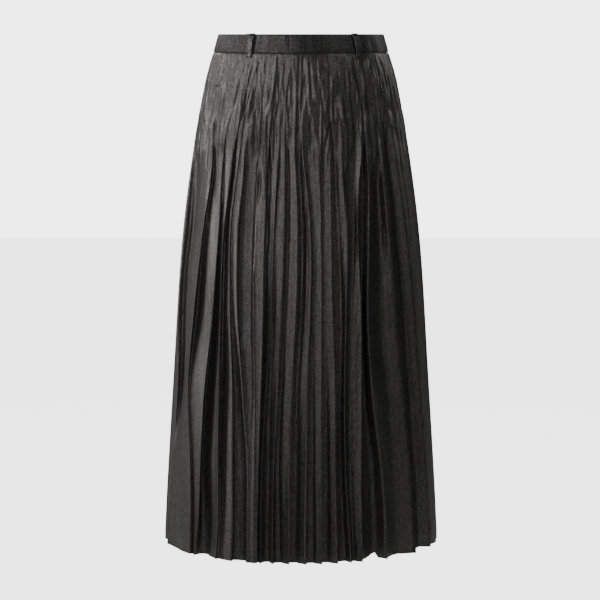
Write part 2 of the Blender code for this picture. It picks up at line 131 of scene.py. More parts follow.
# Fold edges of the front, from the side at -X to the side at +X. Angles are in degrees at EDGE_DROPS. Falls are
# the share of the spacing before the edge that slopes down into the valley, and depths are the valley's in
# millimetres, both at FALL_DROPS. opens is the drop round which the valley opens to its full depth.
EDGE_DROPS = (0.030, 0.068, 0.109, 0.150, 0.192, 0.242, 0.318, 0.448, 0.575, 0.700, 0.790, 0.858)
FALL_DROPS = (0.318, 0.444, 0.572, 0.700, 0.846)
Pleat = namedtuple("Pleat", "angles falls depths opens")
FRONT_PLEATS = (
    Pleat((-80.0, -80.5, -81.0, -81.5, -81.5, -80.0, -77.5, -79.5, -72.5, -73.0, -76.0, -77.0),
          5 * (0.5,), 5 * (4,), 0),
    Pleat((-50.0, -56.5, -58.1, -55.6, -53.7, -53.0, -54.7, -57.8, -60.1, -55.1, -52.7, -52.0),
          (0.3, 0.2, 0.1, 0.3, 0.45), (12, 12, 9, 2, 5), 0.2),
    Pleat((-36.5, -38.5, -40.8, -43.7, -44.9, -43.9, -42.8, -43.9, -47.0, -47.7, -47.6, -49.5),
          (0.11, 0.11, 0.1, 0.1, 0.11), (8, 13, 5, 4, 5), 0.19),
    Pleat((-29.5, -32.3, -33.8, -35.8, -37.5, -38.3, -39.8, -39.1, -38.6, -37.5, -36.4, -37.0),
          (0.1, 0.11, 0.13, 0.13, 0.25), (6, 12, 18, 17, 20), 0.175),
    Pleat((-25.5, -29.0, -31.5, -33.0, -33.7, -34.6, -35.7, -33.7, -31.0, -29.7, -29.0, -29.1),
          (0.13, 0.12, 0.1, 0.11, 0.11), (9, 10, 14, 10, 6), 0.175),
    Pleat((-21.0, -26.0, -29.1, -29.9, -30.5, -30.1, -31.2, -29.9, -26.4, -22.9, -22.5, -22.4),
          (0.1, 0.1, 0.45, 0.62, 0.65), (3, 4, 9, 13, 13), 0),
    Pleat((-18.0, -20.0, -21.5, -22.2, -22.5, -22.5, -22.7, -22.0, -20.6, -19.9, -19.8, -19.8),
          (0.85, 0.82, 0.7, 0.5, 0.5), (13, 13, 8, 2, 2), 0.18),
    Pleat((-15.0, -15.6, -16.2, -16.6, -16.9, -17.0, -17.2, -17.0, -17.6, -18.1, -18.2, -18.2),
          (0.3, 0.3, 0.3, 0.4, 0.4), (2, 2, 2, 2, 2), 0.15),
    Pleat((-12.0, -11.6, -11.5, -11.3, -11.2, -11.8, -12.5, -13.2, -14.9, -16.4, -16.6, -16.6),
          (0.16, 0.2, 0.25, 0.18, 0.18), (7, 8, 9, 8, 9), 0.15),
    Pleat((-6.5, -7.4, -8.5, -8.6, -8.0, -7.3, -7.1, -8.3, -9.9, -11.2, -11.5, -11.5),
          (0.1, 0.13, 0.32, 0.5, 0.53), (4, 7, 9, 14, 18), 0.17),
    Pleat((-1.5, -1.9, -2.2, -2.6, -2.9, -2.1, -1.2, -1.9, -3.6, -4.5, -4.7, -4.8),
          (0.18, 0.14, 0.2, 0.23, 0.41), (7, 8, 10, 14, 17), 0.17),
    Pleat((4.0, 2.3, 1.0, 1.0, 1.2, 2.9, 4.7, 4.5, 3.3, 2.7, 2.3, 2.2),
          (0.4, 0.35, 0.31, 0.42, 0.36), (12, 12, 12, 16, 18), 0.17),
    Pleat((10.0, 8.0, 9.1, 10.0, 10.1, 9.9, 9.6, 9.3, 8.9, 8.7, 8.6, 8.5),
          (0.26, 0.41, 0.36, 0.42, 0.46), (6, 6, 8, 13, 16), 0.15),
    Pleat((15.5, 16.2, 16.5, 16.3, 15.8, 15.3, 14.8, 14.7, 15.2, 14.8, 14.8, 15.0),
          (0.3, 0.29, 0.35, 0.44, 0.43), (6, 7, 10, 13, 16), 0.2),
    Pleat((21.5, 22.6, 23.3, 22.0, 21.6, 21.6, 23.2, 20.8, 19.3, 18.9, 19.8, 20.9),
          (0.4, 0.8, 0.86, 0.86, 0.8), (14, 13, 13, 16, 19), 0.16),
    Pleat((28.0, 32.1, 35.7, 34.5, 33.1, 30.3, 28.0, 28.4, 27.6, 26.3, 25.8, 25.7),
          (0.8, 0.45, 0.45, 0.45, 0.5), (9, 10, 11, 13, 13), 0.11),
    Pleat((36.0, 39.4, 38.8, 37.4, 36.6, 36.7, 34.5, 31.6, 32.5, 36.1, 37.7, 37.6),
          (0.7, 0.86, 0.88, 0.88, 0.82), (16, 17, 20, 25, 27), 0.18),
    Pleat((45.0, 48.0, 48.4, 47.9, 47.7, 46.9, 46.9, 48.9, 51.1, 54.4, 55.0, 55.4),
          (0.86, 0.68, 0.74, 0.62, 0.6), (18, 19, 20, 19, 18), 0.22),
    Pleat((57.0, 57.5, 57.9, 58.4, 59.0, 59.9, 61.5, 64.4, 66.3, 68.0, 69.2, 70.0),
          5 * (0.85,), (15, 16, 18, 18, 20), 0.15),
    Pleat((72.0, 72.5, 73.0, 73.5, 74.1, 74.8, 76.0, 78.0, 79.2, 80.0, 80.3, 80.5),
          5 * (0.5,), 5 * (6,), 0),
)
# The back takes the front's pleats from BACK_START places on, so that it isn't a copy. Depths are in millimetres.
BACK_START = 7
BACK_SPREAD = 0.945
BACK_LEAST_FALL = 0.32
BACK_SHALLOWEST = 8
BACK_DEEPEST = 17

# Each panel's cut: its width at the hem and its length with the turned hem, in metres, and its area in square
# metres. The area is less than a rectangle's because a panel is narrower at the waist.
Cut = namedtuple("Cut", "width length area")

# Small folds and creases of the gathered hips: the widths of the two flanks and the height in millimetres, and
# the line as (angle, drop). A negative height is a groove.
Fold = namedtuple("Fold", "lead fall height line")
FRONT_FOLDS = (
    Fold(9, 2.5, 2.2, ((-43.5, 0.042), (-45.2, 0.059), (-47.1, 0.075), (-48.3, 0.091), (-50.4, 0.121),
         (-50.4, 0.157), (-50.0, 0.19), (-48.1, 0.231), (-46.2, 0.263))),
    Fold(7, 3, 1.0, ((-69.7, 0.109), (-67.5, 0.142), (-65.9, 0.175))),
    Fold(5, 3, 1.8, ((-23.5, 0.039), (-22.4, 0.071))),
    Fold(5, 3, 2.0, ((-28.6, 0.042), (-27.5, 0.067), (-27.0, 0.094))),
    Fold(6, 3, 2.8, ((-22.9, 0.084), (-22.9, 0.107), (-22.7, 0.136), (-22.4, 0.185))),
    Fold(6, 3.5, 3.1, ((-15.5, 0.039), (-15.6, 0.081), (-16.3, 0.104), (-18.9, 0.136), (-18.9, 0.164),
         (-17.9, 0.204), (-17.9, 0.245))),
    Fold(4, 2.5, 1.7, ((-15.5, 0.168), (-15.3, 0.204))),
    Fold(5, 3, 2.0, ((3.7, 0.039), (4.9, 0.082), (5.2, 0.12))),
    Fold(5, 3, 1.7, ((13.3, 0.062), (13.1, 0.1))),
    Fold(5, 4, 2.5, ((15.6, 0.094), (14.2, 0.12), (13.8, 0.152), (12.3, 0.181))),
    Fold(4, 3, 1.7, ((19.4, 0.065), (17.7, 0.107))),
    Fold(5, 3, 1.8, ((27.4, 0.037), (26.3, 0.071))),
    Fold(5, 3, 2.8, ((30.0, 0.058), (28.6, 0.104), (28.6, 0.131), (28.6, 0.169))),
    Fold(4, 3, 2.0, ((25.9, 0.136), (24.7, 0.182), (24.8, 0.204), (22.6, 0.227))),
    Fold(4, 3, 1.7, ((46.5, 0.039), (44.0, 0.07))),
    Fold(5, 3, 2.2, ((44.5, 0.121), (42.0, 0.157), (39.5, 0.189), (39.2, 0.213))),
    Fold(4, 4, 1.1, ((54.4, 0.141), (53.1, 0.182), (52.3, 0.206), (53.7, 0.226))),
    Fold(4, 4, 1.4, ((61.4, 0.043), (60.5, 0.076), (62.2, 0.118), (62.7, 0.151))),
    Fold(3, 3, 1.3, ((6.4, 0.152), (6.7, 0.188))),
    Fold(4, 4, 1.3, ((-28.0, 0.162), (-27.3, 0.208))),
    Fold(3, 3, -3.5, ((16.4, 0.146), (13.8, 0.168), (12.1, 0.196))),
    Fold(2.5, 2.5, -2.8, ((22.9, 0.201), (22.4, 0.227))),
    Fold(3, 3, -3.1, ((-27.3, 0.104), (-25.1, 0.172), (-23.7, 0.196), (-21.8, 0.224), (-21.4, 0.253),
         (-22.3, 0.28), (-22.7, 0.326), (-22.7, 0.37))),
    Fold(2.5, 2.5, -2.5, ((19.2, 0.104), (18.0, 0.156))),
    Fold(4, 3, -3.0, ((-53.5, 0.19), (-53.7, 0.256), (-52.5, 0.313))),
    Fold(2.5, 2.5, -2.5, ((-45.6, 0.19), (-42.4, 0.271))),
    Fold(3, 3, -3.0, ((-37.6, 0.186), (-38.5, 0.271), (-38.9, 0.311))),
    Fold(3, 3, -3.0, ((-18.7, 0.131), (-15.9, 0.33))),
    Fold(3, 3, -3.0, ((-11.5, 0.188), (-11.9, 0.309))),
    Fold(3, 3, -3.0, ((-7.0, 0.188), (-6.3, 0.33))),
    Fold(3, 3, -3.0, ((16.4, 0.236), (15.8, 0.285))),
    Fold(2.5, 2.5, -2.5, ((-14.6, 0.139), (-13.8, 0.201))),
)

# Soft dents and rises of the waistband: angle and half width in degrees, height in millimetres, share down it
Pucker = namedtuple("Pucker", "angle reach height down")
FRONT_PUCKERS = (
    Pucker(-62.0, 6.0, 0.5, 0.8),
    Pucker(-41.0, 3.0, 0.5, 0.9),
    Pucker(-27.1, 1.6, -0.9, 0.2),
    Pucker(-22.5, 3.2, 0.7, 0.3),
    Pucker(-10.8, 1.4, 0.6, 0.2),
    Pucker(-2.0, 4.0, 0.5, 0.6),
    Pucker(3.8, 1.8, -0.5, 0.2),
    Pucker(18.0, 5.0, 0.3, 0.9),
    Pucker(54.0, 2.4, -0.7, 0.7),
    Pucker(62.0, 3.0, 0.6, 0.4),
)

# Belt loops: their places, the strip they are made of, and how far they rise, reach below the band and bow out
LOOP_ANGLES = {
    "belt_loop_front_right": -34.6,
    "belt_loop_front_left": 39.2,
    "belt_loop_back_left": 140.0,
    "belt_loop_back_right": -140.0,
}
LOOP_WIDTH = 0.0095
LOOP_THICK = 0.0011
LOOP_RISE = 0.0014
LOOP_TAIL = 0.0090
LOOP_BOW = 0.0034

# Panel (0 front, 1 back left, 2 back right), angle and drop of each bar tack at the hips
HIP_TACKS = ((0, -58.5, 0.085), (0, 54.6, 0.095), (1, 123.0, 0.088), (2, 235.0, 0.090))

# Zip
TAPE_TOP_DROP = 0.0114
TAPE_WIDTH = 0.024
TOOTH_PITCH = 0.0013

# Scene. Strengths: the surround as the camera sees it and as it lights the skirt, and the floor's own glow
WORLD_SEEN = 4.4
WORLD_LIT = 0.024
FLOOR_GLOW = 3.4
FLOOR_Z = -1.10
CAMERA_PLACE = (-0.0017, -4.0, 0.015)
CAMERA_DIP = 6.39
CAMERA_LENS = 142.5

# Lights stand round the skirt: degrees from the camera's side towards +X, distance, height, size, watts, the
# height that they point at, and the spread of their beam in degrees.
Light = namedtuple("Light", "name bearing distance height size power aim spread")
LIGHTS = (
    Light("key_left", -55, 1.4, 0.40, 0.5, 2.7, -0.30, 180),
    Light("rim_left", -95, 1.3, 0.38, 0.5, 1.4, -0.15, 180),
    Light("low_left", -100, 1.3, 0.38, 0.4, 0.6, -0.60, 30),
    Light("front_left", -22, 1.5, 0.50, 0.3, 1.8, -0.35, 180),
    Light("high_right", 45, 1.5, 1.00, 0.4, 1.4, -0.15, 180),
    Light("back_right", 120, 2.4, 0.90, 0.8, 4.5, -0.30, 180),
    Light("back", 165, 2.4, 0.90, 0.7, 9.0, -0.30, 180),
    Light("back_left", -140, 2.4, 0.90, 0.8, 6.0, -0.30, 180),
)


# Shape of the figure


def clamp(value):
    return min(max(value, 0.0), 1.0)


def ease(value):
    """The value kept from 0 to 1, with a soft start and a soft end."""
    share = clamp(value)
    return share**2 * (3 - 2 * share)


def curve_through(knots, values, at):
    """A smooth curve through the values, read at one place. The knots may be unevenly spaced."""
    at = min(max(at, knots[0]), knots[-1])
    i = 0
    while i < len(knots) - 2 and at > knots[i + 1]:
        i += 1
    before, after = max(i - 1, 0), min(i + 2, len(knots) - 1)
    span = knots[i + 1] - knots[i]
    share = (at - knots[i]) / span
    slope_in = (values[i + 1] - values[before]) / (knots[i + 1] - knots[before])
    slope_out = (values[after] - values[i]) / (knots[after] - knots[i])
    square, cube = share**2, share**3
    return (
        (2 * cube - 3 * square + 1) * values[i]
        + (cube - 2 * square + share) * span * slope_in
        + (3 * square - 2 * cube) * values[i + 1]
        + (cube - square) * span * slope_out
    )


def section_at(drop):
    return Section(drop, *(curve_through(SECTION_DROPS, column, drop) for column in SECTION_COLUMNS))


def depth_at(s, angle):
    """The section's half depth on the side, front or back, where that angle in radians lies."""
    return s.front_depth if math.cos(angle) > 0 else s.back_depth


def on_section(s, degrees, out=0.0):
    """A point of one section of the envelope, moved out square to it in plan."""
    angle = math.radians(degrees)
    depth = depth_at(s, angle)
    place = Vector((s.half_width * math.sin(angle), -depth * math.cos(angle)))
    outward = Vector((math.sin(angle) / s.half_width, -math.cos(angle) / depth)).normalized()
    place += out * outward
    return Vector((place.x, place.y, TOP_Z - s.drop))


def on_figure(degrees, drop):
    return on_section(section_at(drop), degrees)


def radius_at(s, degrees):
    """Metres of envelope for each radian of angle."""
    angle = math.radians(degrees)
    return math.hypot(s.half_width * math.cos(angle), depth_at(s, angle) * math.sin(angle))


def wander(seed, drop, length):
    """A smooth uneven value along the drop, about -1 to 1, that differs for each seed."""
    return 1.6 * noise.noise(Vector((seed * 7.31, drop / length, 3.7)))


def ripple(angle, drop, width, length, seed):
    """Smooth noise over the cloth, about width apart round the skirt and length apart down it."""
    return noise.noise(Vector((math.radians(angle) * NOISE_RADIUS / width, drop / length, seed)))


# Meshes


def new_object(name, data):
    made = bpy.data.objects.new(name, data)
    bpy.context.scene.collection.objects.link(made)
    return made


def new_mesh(name, bm, material):
    mesh = bpy.data.meshes.new(name)
    bm.to_mesh(mesh)
    bm.free()
    mesh.materials.append(material)
    return mesh


def add_piece(name, bm, material, replaces=(), smooth_angle=None):
    """A finished bmesh as a piece of the skirt's body that stands for CAD nodes."""
    mesh = new_mesh(name, bm, material)
    mesh.shade_smooth()
    if smooth_angle is not None:
        mesh.set_sharp_from_angle(angle=math.radians(smooth_angle))
    piece = new_object(name, mesh)
    if replaces:
        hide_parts(*replaces)
    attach(piece, "skirt")
    return piece


def lay_grid(bm, rows, places):
    """A grid whose corners are moved to the rows of points. places gives each corner's UV, in metres of cloth."""
    columns = len(rows[0])
    made = bmesh.ops.create_grid(bm, x_segments=columns - 1, y_segments=len(rows) - 1, size=1.0)
    pattern = bm.loops.layers.uv.get("cloth") or bm.loops.layers.uv.new("cloth")
    verts = made["verts"]
    place_of = {}
    for k, vert in enumerate(verts):
        i, j = divmod(k, columns)
        vert.co = rows[i][j]
        place_of[vert] = places[i][j]
    for face in {f for v in verts for f in v.link_faces}:
        for loop in face.loops:
            loop[pattern].uv = place_of[loop.vert]


def face_outwards(bm):
    """Turn an open sheet round if its faces point at the skirt's axis."""
    bmesh.ops.recalc_face_normals(bm, faces=bm.faces[:])
    leaning = sum(f.normal.xy.dot(f.calc_center_median().xy) for f in bm.faces)
    if leaning < 0:
        bmesh.ops.reverse_faces(bm, faces=bm.faces[:])


def close_sheet(bm):
    """Join the edges of a sheet that meet, cap its open ends and face it outwards."""
    bmesh.ops.remove_doubles(bm, verts=bm.verts[:], dist=1e-6)
    bmesh.ops.holes_fill(bm, edges=[e for e in bm.edges if e.is_boundary], sides=0)
    bmesh.ops.recalc_face_normals(bm, faces=bm.faces[:])


def thicken(piece, thickness, offset=-1.0):
    """Give a sheet its cloth's thickness."""
    step = piece.modifiers.new("thickness", "SOLIDIFY")
    step.thickness = thickness
    step.offset = offset


# Pleated panels


def beside_zip(degrees, drop):
    """An angle from the centre back, moved out so that it doesn't fall on the plain strip by the zip."""
    strip = back_flat(drop) + 1.0
    return math.copysign(strip + (1 - strip / 90) * abs(degrees), degrees)


def back_flat(drop):
    """Half of the plain strip, in degrees, on either side of the centre back seam."""
    share = clamp((drop - ZIP_END_DROP) / (HEM_DROP - ZIP_END_DROP))
    return BACK_FLAT_TOP + share * (BACK_FLAT_HEM - BACK_FLAT_TOP)


def back_pleats():
    """The back's fold edges in the front's columns, with the centre back at 180 degrees."""
    count = len(FRONT_PLEATS)
    rows = []
    for k in range(count):
        shape = FRONT_PLEATS[(k + BACK_START) % count]
        place = FRONT_PLEATS[count - 1 - k]
        angles = [180 + beside_zip(-BACK_SPREAD * angle, drop) for angle, drop in zip(place.angles, EDGE_DROPS)]
        falls = [max(fall, BACK_LEAST_FALL) for fall in shape.falls]
        depths = [min(max(deep, BACK_SHALLOWEST), BACK_DEEPEST) for deep in shape.depths]
        rows.append(Pleat(angles, falls, depths, shape.opens))
    return rows


def back_folds():
    """The back's small folds: the front's, mirrored, spread and shifted down a little."""
    folds = []
    for k, fold in enumerate(FRONT_FOLDS):
        line = []
        for angle, drop in fold.line:
            moved = beside_zip(-0.93 * angle - 3.0 * math.copysign(1.0, angle), drop)
            line.append((180 + moved, drop * 0.96 + 0.006 * (k % 3)))
        folds.append(Fold(fold.lead, fold.fall, fold.height * (0.8 + 0.1 * (k % 4)), line))
    return tuple(folds)


def small_folds(seed, count, first, last):
    """Short, sharp folds and creases that gathering leaves scattered over the hips, between two angles."""
    draw = random.Random(seed)
    folds = []
    for _ in range(count):
        angle, drop, length = draw.uniform(first, last), draw.uniform(0.042, 0.175), draw.uniform(0.025, 0.075)
        lean, height = draw.uniform(-1.4, 1.4), draw.choice((-2.3, -1.6, 1.4, 1.9, 2.5))
        line = ((angle, drop), (angle + 0.4 * lean, drop + 0.5 * length), (angle + lean, drop + length))
        folds.append(Fold(draw.uniform(2.6, 4.5), draw.uniform(2.2, 3.2), height, line))
    return tuple(folds)


def fall_share(pleat, drop):
    """The share of the spacing before a fold edge that slopes down into its valley."""
    return min(max(curve_through(FALL_DROPS, pleat.falls, drop), LEAST_FALL), MOST_FALL)


def valley_depth(pleat, drop, seed):
    """How deep the valley before a fold edge lies at that drop, in metres."""
    share = clamp((drop - PLEAT_START) / (FALL_DROPS[0] - PLEAT_START))
    start = ease((drop - PLEAT_START) / PLEAT_EASE)
    uneven = 1 + 0.12 * wander(seed + 40, drop, 0.11)
    deep = 0.001 * curve_through(FALL_DROPS, pleat.depths, drop)
    opened = SHUT + (1 - SHUT) * ease((drop - pleat.opens + OPEN_SPAN / 2) / OPEN_SPAN)
    return deep * share**DEPTH_POWER * start * opened * uneven


def fall_level(share):
    """From a fold edge at 0 into the valley at 1: steep at the edge, rounded at the bottom."""
    return math.sin(share * math.pi / 2) ** 0.8


def rise_level(share):
    """From the valley at 0 up to the next fold edge at 1: an almost flat face."""
    return 1 - share - 0.05 * math.sin(2 * math.pi * share)


def fold_out(fold, angle, here, radius):
    """How far a small fold lifts the cloth at an angle, in metres. here is (line's angle, strength)."""
    centre, strength = here
    across = 1000 * math.radians(angle - centre) * radius
    if -fold.lead < across < 0:
        share = 1 + across / fold.lead
    elif 0 <= across < fold.fall:
        share = 1 - across / fold.fall
    else:
        return 0.0
    return 0.001 * fold.height * strength * share**1.25


def fold_here(fold, drop):
    """A small fold's angle at that drop and its strength there, which fades to nothing at both ends."""
    drops = [place[1] for place in fold.line]
    top, bottom = drops[0] - 0.006, drops[-1] + 0.018
    if not top < drop < bottom:
        return None
    angle = curve_through(drops, [place[0] for place in fold.line], drop)
    fade = min((drop - top) / 0.016, (bottom - drop) / 0.036, 1.0)
    return angle, math.sin(fade * math.pi / 2)


class Panel:
    """One pleated panel: where its seams and fold edges run, and how its cloth lies at any drop. start and end
    give (seam's angle, strip's degrees) and laps both seam allowances in metres, all at a drop."""

    def __init__(self, name, pleats, folds, start, end, laps, seed):
        self.name, self.pleats, self.folds, self.seed = name, pleats, folds, seed
        self.start, self.end, self.laps = start, end, laps
        plan = section_at(PLAN_DROP)
        edges = self.edges(PLAN_DROP)
        self.counts = []
        for (before, _), (angle, pleat) in zip(edges, edges[1:]):
            width = math.radians(angle - before) * radius_at(plan, (angle + before) / 2)
            share = sum(pleat.falls) / len(pleat.falls)
            down = max(3, round(width * share / COLUMN), round(0.001 * max(pleat.depths) / WALL_STEP))
            self.counts.append((down, max(4, round(width * (1 - share) / COLUMN))))

    def edges(self, drop):
        """(angle, pleat) of the first strip's end, each fold edge and the last strip's start."""
        first, strip = self.start(drop)
        last, last_strip = self.end(drop)
        tail = self.pleats[-1]
        seam_pleat = tail._replace(depths=[0.6 * deep for deep in tail.depths])
        edges = [(first + strip, None)]
        for k, pleat in enumerate(self.pleats):
            uneven = 0.14 * clamp((drop - PLEAT_START) / 0.05) * wander(self.seed + k, drop, 0.12)
            edges.append((curve_through(EDGE_DROPS, pleat.angles, drop) + uneven, pleat))
        return edges + [(last - last_strip, seam_pleat)]

    def seam_side(self, s, seam, strip, lap):
        """(angle, out) from a seam's allowance to where the strip beside it is flat. strip is its degrees, less than
        0 where the seam ends the panel."""
        stations = []
        if lap:
            reach = math.copysign(math.degrees(lap / radius_at(s, seam)), strip)
            stations += [(seam - reach, -LAP_DEPTH - LAP_LEAN), (seam + STRIP_UNDER * strip, -LAP_DEPTH)]
        bend = (seam + STRIP_BEND * strip, -0.3 * SEAM_TURN)
        return stations + [(seam, -SEAM_TURN), bend, (seam + STRIP_FLAT * strip, 0.0)]

    def row(self, drop):
        """(angle, out) round the panel at that drop. An undercut is held back where the face before it is narrow or
        steep, so that they don't cross."""
        first, last = self.start(drop)[0], self.end(drop)[0]
        s = section_at(drop)
        edges = self.edges(drop)
        laps = self.laps(drop)
        stations = self.seam_side(s, first, edges[0][0] - first, laps[0])
        stations.append((edges[0][0], 0.0))
        slope, run = 0.0, 0.01
        for k, ((before, _), (angle, pleat)) in enumerate(zip(edges, edges[1:])):
            fall, depth = fall_share(pleat, drop), valley_depth(pleat, drop, self.seed + k)
            down, up = self.counts[k]
            reach = radius_at(s, before) * math.pi / 180
            room = max(0.0, 0.7 * depth - 0.002)
            under = min(UNDERCUT * depth, 0.7 * run, 0.8 * room / max(slope, 0.01)) / reach
            run = (1 - fall) * (angle - before) * reach
            slope = depth / run
            for i in range(1, down + up + 1):
                if i <= down:
                    share, level = fall * i / down, fall_level(i / down)
                    share -= under * math.sin(math.pi * i / down) / (angle - before)
                else:
                    rise = (i - down) / up
                    share, level = fall + (1 - fall) * rise, rise_level(rise)
                stations.append((before + share * (angle - before), -depth * level))
        return stations + self.seam_side(s, last, edges[-1][0] - last, laps[1])[::-1]

    def cloth(self, drop):
        """The outer face's points at that drop, with small folds, creases and the turned hem."""
        s = section_at(drop)
        if drop < BAND_HEIGHT + SEAM_GAP:
            return [on_section(s, angle, out - BAND_WALL - 0.0006) for angle, out in self.row(drop)]
        active = [(fold, fold_here(fold, drop)) for fold in self.folds]
        active = [(fold, here) for fold, here in active if here]
        tuck = 0.0012 * max(0.0, 1 - (drop - BAND_HEIGHT) / 0.005) ** 2
        hip = math.exp(-(((drop - HIP_DROP) / HIP_SPREAD) ** 2))
        hem = HEM_STEP if drop > HEM_DROP - HEM_TURN else 0.0
        rise = HEM_LIFT * max((drop - HEM_DROP + LIFT_HEIGHT) / LIFT_HEIGHT, 0.0)
        first, last = self.start(drop)[0], self.end(drop)[0]
        points = []
        for angle, out in self.row(drop):
            radius = radius_at(s, angle)
            lift = sum(fold_out(fold, angle, here, radius) for fold, here in active)
            crush = 1 - RIDGE * abs(ripple(angle, drop, 0.013, 0.075, self.seed))
            crease = 1 - RIDGE * abs(ripple(angle, drop, 0.0075, 0.050, self.seed + 4))
            wave = ripple(angle, drop, 0.030, 0.200, self.seed + 9)
            near_seam = min(abs(angle - first), abs(last - angle)) / 4
            calm = min(near_seam, 1.0) * min((drop - BAND_HEIGHT) / 0.02, 1.0)
            extra = calm * (lift + hip * (CRUSH_HEIGHT * crush + CREASE_HEIGHT * crease) + WAVE_HEIGHT * wave)
            point = on_section(s, angle, out + extra - tuck - hem)
            point.z += rise * clamp(-out / LIFT_DEPTH) ** LIFT_POWER
            points.append(point)
        return points


def row_drops():
    """Drops of the panels' mesh rows: two of seam allowance inside the waistband, then down the panel, closer
    together in the crushed part and at the hem's turn."""
    drops, drop = [BAND_HEIGHT - 0.005, BAND_HEIGHT + 0.5 * SEAM_GAP], BAND_HEIGHT + SEAM_GAP
    while drop < HEM_DROP - HEM_TURN - ROW_COARSE:
        drops.append(drop)
        drop += ROW_FINE if drop < CRUSH_DROP else ROW_COARSE
    turn = HEM_DROP - HEM_TURN
    return drops + [turn - 0.0008, turn + 0.0008, HEM_DROP - 0.004, HEM_DROP - 0.0006, HEM_DROP]


def make_panel(panel, material):
    """A panel's cloth. Its UVs are metres along the cloth from its middle, and the drop."""
    drops = row_drops()
    rows = [panel.cloth(drop) for drop in drops]
    places = []
    for drop, row in zip(drops, rows):
        across = [0.0]
        for a, b in zip(row, row[1:]):
            across.append(across[-1] + (b - a).length)
        middle = across[len(across) // 2]
        places.append([(u - middle, drop) for u in across])
    bm = bmesh.new()
    lay_grid(bm, rows, places)
    face_outwards(bm)
    piece = add_piece(panel.name + "_cloth", bm, material, (panel.name,))
    thicken(piece, CLOTH)


def seam_half_angle(gap, drop, side):
    """Half of a seam's gap in degrees, at the side seams or at the centre back."""
    s = section_at(drop)
    return math.degrees(0.5 * gap / (s.front_depth if side else s.half_width))


def slit_at(drop):
    """The gap of the centre back seam: it stands open over the zip and closes below it."""
    return ZIP_SLIT if drop <= ZIP_END_DROP else SEAM_GAP


def make_panels(material):
    """The three panels. Their seams run on angles that keep the gap between two panels even."""

    def side(drop):
        return seam_half_angle(SEAM_GAP, drop, True)

    def centre(drop):
        return seam_half_angle(slit_at(drop), drop, False)

    def centre_lap(drop):
        below_zip = clamp((drop - ZIP_END_DROP - 0.006) / 0.010)
        return SEAM_LAP * (0.1 + 0.9 * below_zip)

    pleats, folds = back_pleats(), back_folds()
    left = [pleat for pleat in pleats if pleat.angles[0] < 180]
    front = Panel(
        "front_panel",
        FRONT_PLEATS,
        FRONT_FOLDS + small_folds(5, 84, -68, 68),
        lambda drop: (-90 + side(drop), SIDE_FLAT),
        lambda drop: (90 - side(drop), SIDE_FLAT),
        lambda drop: (SEAM_LAP, SEAM_LAP),
        0,
    )
    back_left = Panel(
        "back_panel_left",
        left,
        folds + small_folds(6, 44, 106, 172),
        lambda drop: (90 + side(drop), SIDE_FLAT),
        lambda drop: (180 - centre(drop), back_flat(drop)),
        lambda drop: (0.0, centre_lap(drop)),
        100,
    )
    back_right = Panel(
        "back_panel_right",
        pleats[len(left) :],
        folds + small_folds(7, 44, 188, 254),
        lambda drop: (180 + centre(drop), back_flat(drop)),
        lambda drop: (270 - side(drop), SIDE_FLAT),
        lambda drop: (0.0, 0.0),
        200,
    )
    panels = (front, back_left, back_right)
    for panel in panels:
        make_panel(panel, material)
    return panels


# Waistband


def pucker_out(puckers, angle, down):
    """How far the waistband's puckers lift it, in metres."""
    out = 0.0
    for pucker in puckers:
        across = (angle - pucker.angle) / pucker.reach
        if abs(across) < 2.5:
            near = math.exp(-((down - pucker.down) ** 2) / 0.18)
            out += 0.001 * pucker.height * math.exp(-across * across) * near
    return out


def make_band(name, start, end, puckers, material, seed):
    """One length of the waistband: doubled cloth with rolled edges, lofted round the waist."""
    steps = round(abs(end - start) * 1.6)
    edge = BAND_WALL / 2
    # (drop, out) round the wall: up its outer face, over the rolled top edge and down its inner face
    ring = [(BAND_HEIGHT - (BAND_HEIGHT - edge) * (k / 8), 0.0) for k in range(9)]
    turns = [k * math.pi / 6 for k in range(1, 6)]
    ring += [(edge - edge * math.sin(turn), -edge + edge * math.cos(turn)) for turn in turns]
    ring += [(edge + (BAND_HEIGHT - edge) * (k / 6), -BAND_WALL) for k in range(7)]
    ring += [(BAND_HEIGHT, -BAND_WALL * 0.5), ring[0]]
    bm = bmesh.new()
    rows, places = [], []
    sections = {drop: section_at(drop) for drop, _ in ring}
    for k in range(steps + 1):
        angle = start + (end - start) * k / steps
        length = math.radians(angle - start) * WAIST_RADIUS
        ends = min(k, steps - k) / 4
        row = []
        for drop, out in ring:
            down = drop / BAND_HEIGHT
            outer = 1.0 if out > -BAND_WALL * 0.4 else 0.0
            crown = 0.0003 * math.sin(math.pi * min(down, 1.0)) * outer
            roll = -0.0005 * max(0.0, 1 - (BAND_HEIGHT - drop) / 0.0025) ** 2 * outer
            uneven = 0.00016 * noise.noise(Vector((angle / 4.2, down * 1.3, seed)))
            uneven += 0.00010 * noise.noise(Vector((angle / 1.3, down * 1.1, seed + 5)))
            lift = (uneven + pucker_out(puckers, angle, down)) * min(ends, 1.0)
            lift -= BAND_SEAM if ends == 0 and outer else 0.0
            row.append(on_section(sections[drop], angle, out + crown + roll + lift))
        rows.append(row)
        places.append([(length, drop + (0.0 if out > -BAND_WALL * 0.6 else 0.05)) for drop, out in ring])
    lay_grid(bm, rows, places)
    close_sheet(bm)
    add_piece(name + "_cloth", bm, material, (name,), 60)


def make_bands(material):
    slit = seam_half_angle(ZIP_SLIT, BAND_HEIGHT / 2, False)
    mirrored = [pucker._replace(angle=180 - 0.95 * pucker.angle) for pucker in FRONT_PUCKERS]
    make_band("waistband_front", -90, 90, FRONT_PUCKERS, material, 11)
    make_band("waistband_back_left", 90, 180 - slit, mirrored, material, 12)
    make_band("waistband_back_right", 180 + slit, 270, mirrored, material, 13)


# Belt loops and sewing


